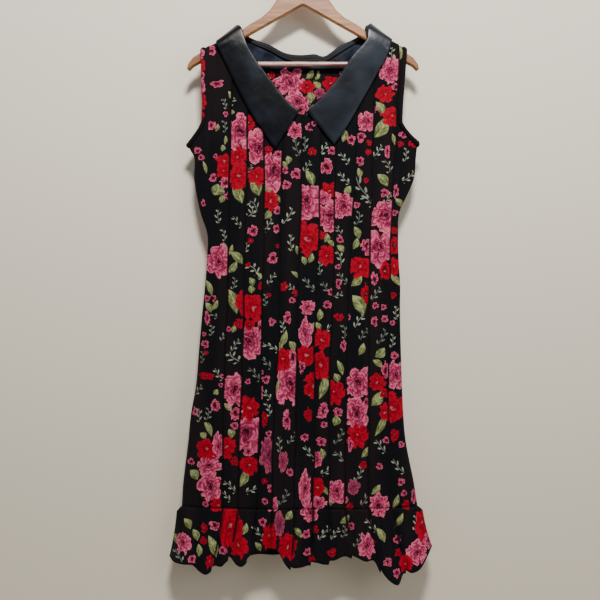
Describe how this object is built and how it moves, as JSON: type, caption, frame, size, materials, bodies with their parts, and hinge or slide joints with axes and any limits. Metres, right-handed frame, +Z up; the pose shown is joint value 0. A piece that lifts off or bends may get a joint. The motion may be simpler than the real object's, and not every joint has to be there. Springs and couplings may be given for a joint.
{
  "type": "sleeveless tea dress on a wooden hanger",
  "caption": "Sleeveless knee-length dress in dark rose-printed cloth, knife-pleated in front, with a wide satin collar and a gathered flounce, hung on a wooden hanger.",
  "frame": {"origin": "inside top of the hanger hook, where a rail or peg holds it", "axes": "+Z up, the front of the dress faces -Y, +X to the viewer's right"},
  "size_m": [0.5057, 0.0951, 1.2221],
  "materials": {
    "print_cloth": "matt black georgette with a rose print",
    "collar_satin": "black satin",
    "hanger_wood": "clear varnish",
    "bar_wood": "varnish, slightly glossy",
    "hook_wire": "bright"
  },
  "bodies": {
    "root": {"front": "print_cloth", "back_left": "print_cloth", "back_right": "print_cloth", "flounce_front": "print_cloth", "flounce_back": "print_cloth", "binding_left": "print_cloth", "binding_right": "print_cloth", "collar": "collar_satin", "hanger_arms": "hanger_wood", "hanger_bar": "bar_wood", "hanger_hook": "hook_wire"}
  },
  "joints": []
}
